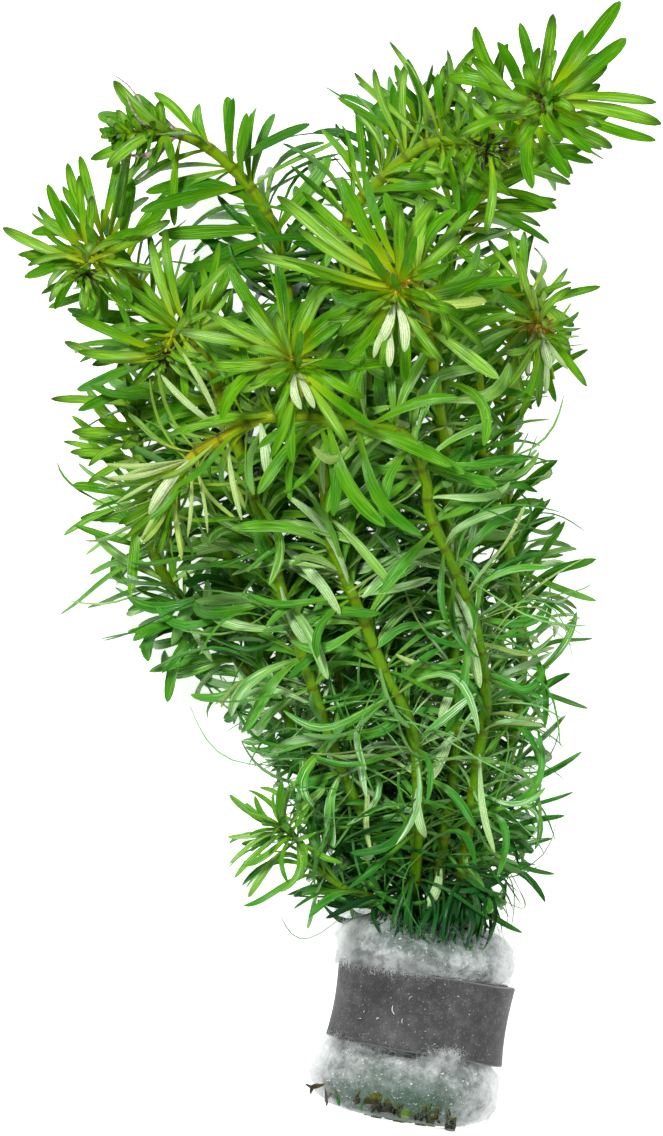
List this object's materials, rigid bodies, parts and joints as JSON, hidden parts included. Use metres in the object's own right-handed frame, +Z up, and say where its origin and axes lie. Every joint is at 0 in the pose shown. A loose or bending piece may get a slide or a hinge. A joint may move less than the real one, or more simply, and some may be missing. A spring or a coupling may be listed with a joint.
{
  "type": "bunch of aquarium stem plants",
  "caption": "Cut bunch of leafy aquarium stems lying on its side, held at the base by white filter floss and a wrapped grey weight strip.",
  "frame": {"origin": "middle of the bunch's bounding box, on the surface that it lies on", "axes": "+Y along the bunch from the cut ends to the growing tips, +Z up from the surface, +X to the right seen from above"},
  "size_m": [0.1325, 0.2258, 0.097],
  "materials": {
    "stem_leaf": "satin",
    "crown_leaf": "satin",
    "floss": "matte",
    "weight_metal": "matte"
  },
  "bodies": {
    "root": {"weight_strip": "weight_metal", "floss_wad": "floss", "stem_right": "stem_leaf", "stem_top_middle": "stem_leaf", "stem_upper_rear": "stem_leaf", "stem_top_left": "stem_leaf", "stem_left": "stem_leaf", "stem_middle_left": "stem_leaf", "stem_low_left": "stem_leaf", "stem_front": "stem_leaf", "stem_centre": "stem_leaf", "stem_arching": "stem_leaf", "stem_upper_right": "stem_leaf", "stem_side_shoot": "stem_leaf", "crown_right": "crown_leaf", "crown_top_middle": "crown_leaf", "crown_upper_rear": "crown_leaf", "crown_top_left": "crown_leaf", "crown_left": "crown_leaf", "crown_middle_left": "crown_leaf", "crown_low_left": "crown_leaf", "crown_front": "crown_leaf", "crown_centre": "crown_leaf", "crown_arching": "crown_leaf", "crown_upper_right": "crown_leaf", "crown_side_shoot": "crown_leaf"}
  },
  "joints": []
}
